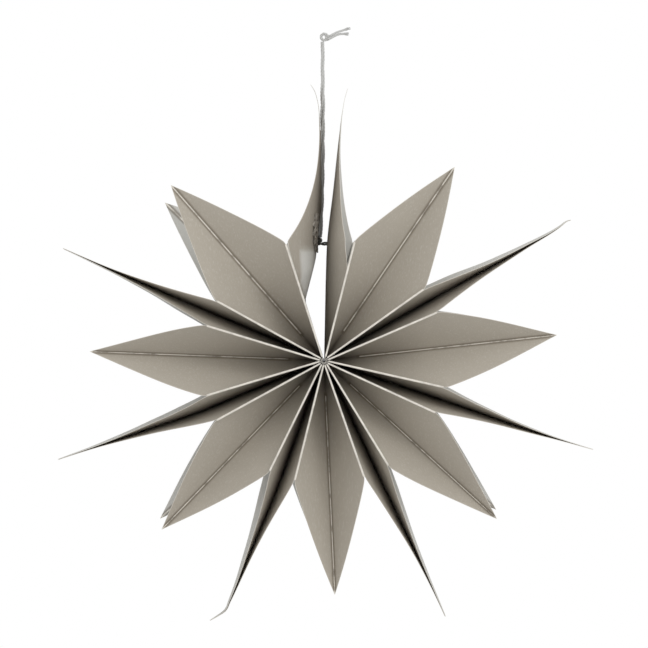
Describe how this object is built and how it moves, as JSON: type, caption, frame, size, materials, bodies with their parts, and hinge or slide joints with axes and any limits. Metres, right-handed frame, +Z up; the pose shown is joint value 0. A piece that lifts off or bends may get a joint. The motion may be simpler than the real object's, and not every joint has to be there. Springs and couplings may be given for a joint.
{
  "type": "paper star decoration",
  "caption": "Hanging star of folded paper bags glued side to side round one axis and cut to points, held open by a corded tie and able to close like a fan.",
  "frame": {"origin": "top of the eye at the upper end of the hanging cord", "axes": "+Z up along the hanging cord, -Y to the front, along the star's centre axis"},
  "size_m": [0.4243, 0.14, 0.4727],
  "materials": {
    "paper": "uncoated matt bag paper",
    "patch": "crinkled paper tape",
    "glue": "dried craft glue",
    "cord": "twisted cotton cord",
    "tie": "twisted cotton cord in shade"
  },
  "bodies": {
    "hanging_loop": {"hanging_loop": "cord", "top_knot": "cord", "cord_tail_upper": "cord", "cord_tail_lower": "cord"},
    "left_end_leaf": {"bag_7_side_b": "paper", "hanging_cord": "cord", "tie_knot": "tie", "tie_cord": "tie", "hole_patch": "patch"},
    "right_end_leaf": {"bag_1_side_a": "paper"},
    "leaf_1": {"bag_1_side_b": "paper", "bag_2_side_a": "paper", "glue_line_1": "glue"},
    "leaf_2": {"bag_2_side_b": "paper", "bag_3_side_a": "paper", "glue_line_2": "glue"},
    "leaf_3": {"bag_3_side_b": "paper", "bag_4_side_a": "paper", "glue_line_3": "glue"},
    "leaf_4": {"bag_4_side_b": "paper", "bag_5_side_a": "paper", "glue_line_4": "glue"},
    "leaf_5": {"bag_5_side_b": "paper", "bag_6_side_a": "paper", "glue_line_5": "glue"},
    "leaf_6": {"bag_6_side_b": "paper", "bag_7_side_a": "paper", "glue_line_6": "glue"},
    "bag_1_front_gusset_a": {"bag_1_front_gusset_a": "paper"},
    "bag_1_rear_gusset_a": {"bag_1_rear_gusset_a": "paper"},
    "bag_1_front_gusset_b": {"bag_1_front_gusset_b": "paper"},
    "bag_1_rear_gusset_b": {"bag_1_rear_gusset_b": "paper"},
    "bag_2_front_gusset_a": {"bag_2_front_gusset_a": "paper"},
    "bag_2_rear_gusset_a": {"bag_2_rear_gusset_a": "paper"},
    "bag_2_front_gusset_b": {"bag_2_front_gusset_b": "paper"},
    "bag_2_rear_gusset_b": {"bag_2_rear_gusset_b": "paper"},
    "bag_3_front_gusset_a": {"bag_3_front_gusset_a": "paper"},
    "bag_3_rear_gusset_a": {"bag_3_rear_gusset_a": "paper"},
    "bag_3_front_gusset_b": {"bag_3_front_gusset_b": "paper"},
    "bag_3_rear_gusset_b": {"bag_3_rear_gusset_b": "paper"},
    "bag_4_front_gusset_a": {"bag_4_front_gusset_a": "paper"},
    "bag_4_rear_gusset_a": {"bag_4_rear_gusset_a": "paper"},
    "bag_4_front_gusset_b": {"bag_4_front_gusset_b": "paper"},
    "bag_4_rear_gusset_b": {"bag_4_rear_gusset_b": "paper"},
    "bag_5_front_gusset_a": {"bag_5_front_gusset_a": "paper"},
    "bag_5_rear_gusset_a": {"bag_5_rear_gusset_a": "paper"},
    "bag_5_front_gusset_b": {"bag_5_front_gusset_b": "paper"},
    "bag_5_rear_gusset_b": {"bag_5_rear_gusset_b": "paper"},
    "bag_6_front_gusset_a": {"bag_6_front_gusset_a": "paper"},
    "bag_6_rear_gusset_a": {"bag_6_rear_gusset_a": "paper"},
    "bag_6_front_gusset_b": {"bag_6_front_gusset_b": "paper"},
    "bag_6_rear_gusset_b": {"bag_6_rear_gusset_b": "paper"},
    "bag_7_front_gusset_a": {"bag_7_front_gusset_a": "paper"},
    "bag_7_rear_gusset_a": {"bag_7_rear_gusset_a": "paper"},
    "bag_7_front_gusset_b": {"bag_7_front_gusset_b": "paper"},
    "bag_7_rear_gusset_b": {"bag_7_rear_gusset_b": "paper"}
  },
  "joints": [
    {"name": "turn_on_cord", "type": "hinge", "parent": "hanging_loop", "child": "left_end_leaf", "pos_m": [0, 0, 0], "axis": [0, 0, 1], "continuous": true},
    {"name": "fan_fold", "type": "hinge", "parent": "left_end_leaf", "child": "right_end_leaf", "pos_m": [-0.0002, 0, -0.259], "axis": [0, 1, 0], "range_deg": [0, 185.9]},
    {"name": "leaf_1_fold", "type": "hinge", "parent": "left_end_leaf", "child": "leaf_1", "pos_m": [-0.0002, 0, -0.259], "axis": [0, 1, 0], "range_deg": [0, 155.5]},
    {"name": "leaf_2_fold", "type": "hinge", "parent": "left_end_leaf", "child": "leaf_2", "pos_m": [-0.0002, 0, -0.259], "axis": [0, 1, 0], "range_deg": [0, 129.4]},
    {"name": "leaf_3_fold", "type": "hinge", "parent": "left_end_leaf", "child": "leaf_3", "pos_m": [-0.0002, 0, -0.259], "axis": [0, 1, 0], "range_deg": [0, 105.4]},
    {"name": "leaf_4_fold", "type": "hinge", "parent": "left_end_leaf", "child": "leaf_4", "pos_m": [-0.0002, 0, -0.259], "axis": [0, 1, 0], "range_deg": [0, 82.1]},
    {"name": "leaf_5_fold", "type": "hinge", "parent": "left_end_leaf", "child": "leaf_5", "pos_m": [-0.0002, 0, -0.259], "axis": [0, 1, 0], "range_deg": [0, 56.8]},
    {"name": "leaf_6_fold", "type": "hinge", "parent": "left_end_leaf", "child": "leaf_6", "pos_m": [-0.0002, 0, -0.259], "axis": [0, 1, 0], "range_deg": [0, 33.2]},
    {"name": "bag_1_front_gusset_a_fold", "type": "hinge", "parent": "right_end_leaf", "child": "bag_1_front_gusset_a", "pos_m": [0.00019, -0.022, -0.2591], "axis": [0.2187, -0.4529, 0.8643], "range_deg": [0, 39.6]},
    {"name": "bag_1_rear_gusset_a_fold", "type": "hinge", "parent": "right_end_leaf", "child": "bag_1_rear_gusset_a", "pos_m": [0.00019, 0.022, -0.25909], "axis": [-0.2051, -0.4529, -0.8677], "range_deg": [0, 39.55]},
    {"name": "bag_1_front_gusset_b_fold", "type": "hinge", "parent": "leaf_1", "child": "bag_1_front_gusset_b", "pos_m": [-0.00043, -0.022, -0.25867], "axis": [-0.7268, 0.4529, -0.5165], "range_deg": [0, 39.6]},
    {"name": "bag_1_rear_gusset_b_fold", "type": "hinge", "parent": "leaf_1", "child": "bag_1_rear_gusset_b", "pos_m": [-0.00044, 0.022, -0.25868], "axis": [0.7176, 0.4529, 0.5291], "range_deg": [0, 39.55]},
    {"name": "bag_2_front_gusset_a_fold", "type": "hinge", "parent": "leaf_1", "child": "bag_2_front_gusset_a", "pos_m": [-0.00004, -0.022, -0.25937], "axis": [0.8183, -0.4529, 0.3541], "range_deg": [0, 33.43]},
    {"name": "bag_2_rear_gusset_a_fold", "type": "hinge", "parent": "leaf_1", "child": "bag_2_rear_gusset_a", "pos_m": [-0.00003, 0.022, -0.25936], "axis": [-0.8119, -0.4529, -0.3683], "range_deg": [0, 33.34]},
    {"name": "bag_2_front_gusset_b_fold", "type": "hinge", "parent": "leaf_2", "child": "bag_2_front_gusset_b", "pos_m": [-0.00011, -0.022, -0.25861], "axis": [-0.8698, 0.4529, 0.196], "range_deg": [0, 33.43]},
    {"name": "bag_2_rear_gusset_b_fold", "type": "hinge", "parent": "leaf_2", "child": "bag_2_rear_gusset_b", "pos_m": [-0.00012, 0.022, -0.25861], "axis": [0.8737, 0.4529, -0.1778], "range_deg": [0, 33.34]},
    {"name": "bag_3_front_gusset_a_fold", "type": "hinge", "parent": "leaf_2", "child": "bag_3_front_gusset_a", "pos_m": [-0.00037, -0.022, -0.25936], "axis": [0.81, -0.4529, -0.3726], "range_deg": [0, 30.56]},
    {"name": "bag_3_rear_gusset_a_fold", "type": "hinge", "parent": "leaf_2", "child": "bag_3_rear_gusset_a", "pos_m": [-0.00036, 0.022, -0.25937], "axis": [-0.8176, -0.4529, 0.3555], "range_deg": [0, 30.56]},
    {"name": "bag_3_front_gusset_b_fold", "type": "hinge", "parent": "leaf_3", "child": "bag_3_front_gusset_b", "pos_m": [0.00014, -0.022, -0.25879], "axis": [-0.4632, 0.4529, 0.7618], "range_deg": [0, 30.56]},
    {"name": "bag_3_rear_gusset_b_fold", "type": "hinge", "parent": "leaf_3", "child": "bag_3_rear_gusset_b", "pos_m": [0.00014, 0.022, -0.25878], "axis": [0.479, 0.4529, -0.752], "range_deg": [0, 30.56]},
    {"name": "bag_4_front_gusset_a_fold", "type": "hinge", "parent": "leaf_3", "child": "bag_4_front_gusset_a", "pos_m": [-0.00058, -0.022, -0.25913], "axis": [0.2947, -0.4529, -0.8415], "range_deg": [0, 29.63]},
    {"name": "bag_4_rear_gusset_a_fold", "type": "hinge", "parent": "leaf_3", "child": "bag_4_rear_gusset_a", "pos_m": [-0.00057, 0.022, -0.25914], "axis": [-0.3122, -0.4529, 0.8351], "range_deg": [0, 31.36]},
    {"name": "bag_4_front_gusset_b_fold", "type": "hinge", "parent": "leaf_4", "child": "bag_4_front_gusset_b", "pos_m": [0.00019, -0.022, -0.2591], "axis": [0.2157, 0.4529, 0.8651], "range_deg": [0, 29.63]},
    {"name": "bag_4_rear_gusset_b_fold", "type": "hinge", "parent": "leaf_4", "child": "bag_4_rear_gusset_b", "pos_m": [0.00018, 0.022, -0.25912], "axis": [-0.2607, 0.4529, -0.8526], "range_deg": [0, 31.36]},
    {"name": "bag_5_front_gusset_a_fold", "type": "hinge", "parent": "leaf_4", "child": "bag_5_front_gusset_a", "pos_m": [-0.00056, -0.022, -0.25883], "axis": [-0.3908, -0.4529, -0.8013], "range_deg": [0, 32.33]},
    {"name": "bag_5_rear_gusset_a_fold", "type": "hinge", "parent": "leaf_4", "child": "bag_5_rear_gusset_a", "pos_m": [-0.00055, 0.022, -0.25881], "axis": [0.4322, -0.4529, 0.7798], "range_deg": [0, 31.6]},
    {"name": "bag_5_front_gusset_b_fold", "type": "hinge", "parent": "leaf_5", "child": "bag_5_front_gusset_b", "pos_m": [-0.00001, -0.022, -0.25935], "axis": [0.782, 0.4529, 0.4282], "range_deg": [0, 32.33]},
    {"name": "bag_5_rear_gusset_b_fold", "type": "hinge", "parent": "leaf_5", "child": "bag_5_rear_gusset_b", "pos_m": [-0.00002, 0.022, -0.25936], "axis": [-0.7908, 0.4529, -0.4117], "range_deg": [0, 31.6]},
    {"name": "bag_6_front_gusset_a_fold", "type": "hinge", "parent": "leaf_5", "child": "bag_6_front_gusset_a", "pos_m": [-0.00032, -0.022, -0.25862], "axis": [-0.854, -0.4529, -0.2562], "range_deg": [0, 30.03]},
    {"name": "bag_6_rear_gusset_a_fold", "type": "hinge", "parent": "leaf_5", "child": "bag_6_rear_gusset_a", "pos_m": [-0.00031, 0.022, -0.25861], "axis": [0.8592, -0.4529, 0.2383], "range_deg": [0, 28.87]},
    {"name": "bag_6_front_gusset_b_fold", "type": "hinge", "parent": "leaf_6", "child": "bag_6_front_gusset_b", "pos_m": [-0.00032, -0.022, -0.25938], "axis": [0.8531, 0.4529, -0.2592], "range_deg": [0, 30.03]},
    {"name": "bag_6_rear_gusset_b_fold", "type": "hinge", "parent": "leaf_6", "child": "bag_6_rear_gusset_b", "pos_m": [-0.0003, 0.022, -0.25939], "axis": [-0.8616, 0.4529, 0.2293], "range_deg": [0, 28.87]},
    {"name": "bag_7_front_gusset_a_fold", "type": "hinge", "parent": "leaf_6", "child": "bag_7_front_gusset_a", "pos_m": [-0.00001, -0.022, -0.25865], "axis": [-0.7805, -0.4529, 0.4309], "range_deg": [0, 43.9]},
    {"name": "bag_7_rear_gusset_a_fold", "type": "hinge", "parent": "leaf_6", "child": "bag_7_rear_gusset_a", "pos_m": [-0.00002, 0.022, -0.25864], "axis": [0.7951, -0.4529, -0.4034], "range_deg": [0, 44.21]},
    {"name": "bag_7_front_gusset_b_fold", "type": "hinge", "parent": "left_end_leaf", "child": "bag_7_front_gusset_b", "pos_m": [-0.00058, -0.022, -0.25912], "axis": [0.274, 0.4529, -0.8484], "range_deg": [0, 43.9]},
    {"name": "bag_7_rear_gusset_b_fold", "type": "hinge", "parent": "left_end_leaf", "child": "bag_7_rear_gusset_b", "pos_m": [-0.00058, 0.022, -0.25913], "axis": [-0.2961, 0.4529, 0.841], "range_deg": [0, 44.21]}
  ],
  "couplings": [
    {"joint": "leaf_1_fold", "follows": "fan_fold", "ratio": 0.83647},
    {"joint": "leaf_2_fold", "follows": "fan_fold", "ratio": 0.69607},
    {"joint": "leaf_3_fold", "follows": "fan_fold", "ratio": 0.56697},
    {"joint": "leaf_4_fold", "follows": "fan_fold", "ratio": 0.44163},
    {"joint": "leaf_5_fold", "follows": "fan_fold", "ratio": 0.30554},
    {"joint": "leaf_6_fold", "follows": "fan_fold", "ratio": 0.17859},
    {"joint": "bag_1_front_gusset_a_fold", "follows": "fan_fold", "ratio": 0.21302},
    {"joint": "bag_1_rear_gusset_a_fold", "follows": "fan_fold", "ratio": 0.21273},
    {"joint": "bag_1_front_gusset_b_fold", "follows": "fan_fold", "ratio": 0.21302},
    {"joint": "bag_1_rear_gusset_b_fold", "follows": "fan_fold", "ratio": 0.21273},
    {"joint": "bag_2_front_gusset_a_fold", "follows": "fan_fold", "ratio": 0.17982},
    {"joint": "bag_2_rear_gusset_a_fold", "follows": "fan_fold", "ratio": 0.17935},
    {"joint": "bag_2_front_gusset_b_fold", "follows": "fan_fold", "ratio": 0.17982},
    {"joint": "bag_2_rear_gusset_b_fold", "follows": "fan_fold", "ratio": 0.17935},
    {"joint": "bag_3_front_gusset_a_fold", "follows": "fan_fold", "ratio": 0.16441},
    {"joint": "bag_3_rear_gusset_a_fold", "follows": "fan_fold", "ratio": 0.16441},
    {"joint": "bag_3_front_gusset_b_fold", "follows": "fan_fold", "ratio": 0.16441},
    {"joint": "bag_3_rear_gusset_b_fold", "follows": "fan_fold", "ratio": 0.16441},
    {"joint": "bag_4_front_gusset_a_fold", "follows": "fan_fold", "ratio": 0.15937},
    {"joint": "bag_4_rear_gusset_a_fold", "follows": "fan_fold", "ratio": 0.16869},
    {"joint": "bag_4_front_gusset_b_fold", "follows": "fan_fold", "ratio": 0.15937},
    {"joint": "bag_4_rear_gusset_b_fold", "follows": "fan_fold", "ratio": 0.16869},
    {"joint": "bag_5_front_gusset_a_fold", "follows": "fan_fold", "ratio": 0.17389},
    {"joint": "bag_5_rear_gusset_a_fold", "follows": "fan_fold", "ratio": 0.17},
    {"joint": "bag_5_front_gusset_b_fold", "follows": "fan_fold", "ratio": 0.17389},
    {"joint": "bag_5_rear_gusset_b_fold", "follows": "fan_fold", "ratio": 0.17},
    {"joint": "bag_6_front_gusset_a_fold", "follows": "fan_fold", "ratio": 0.16152},
    {"joint": "bag_6_rear_gusset_a_fold", "follows": "fan_fold", "ratio": 0.15529},
    {"joint": "bag_6_front_gusset_b_fold", "follows": "fan_fold", "ratio": 0.16152},
    {"joint": "bag_6_rear_gusset_b_fold", "follows": "fan_fold", "ratio": 0.15529},
    {"joint": "bag_7_front_gusset_a_fold", "follows": "fan_fold", "ratio": 0.23613},
    {"joint": "bag_7_rear_gusset_a_fold", "follows": "fan_fold", "ratio": 0.23784},
    {"joint": "bag_7_front_gusset_b_fold", "follows": "fan_fold", "ratio": 0.23613},
    {"joint": "bag_7_rear_gusset_b_fold", "follows": "fan_fold", "ratio": 0.23784}
  ]
}
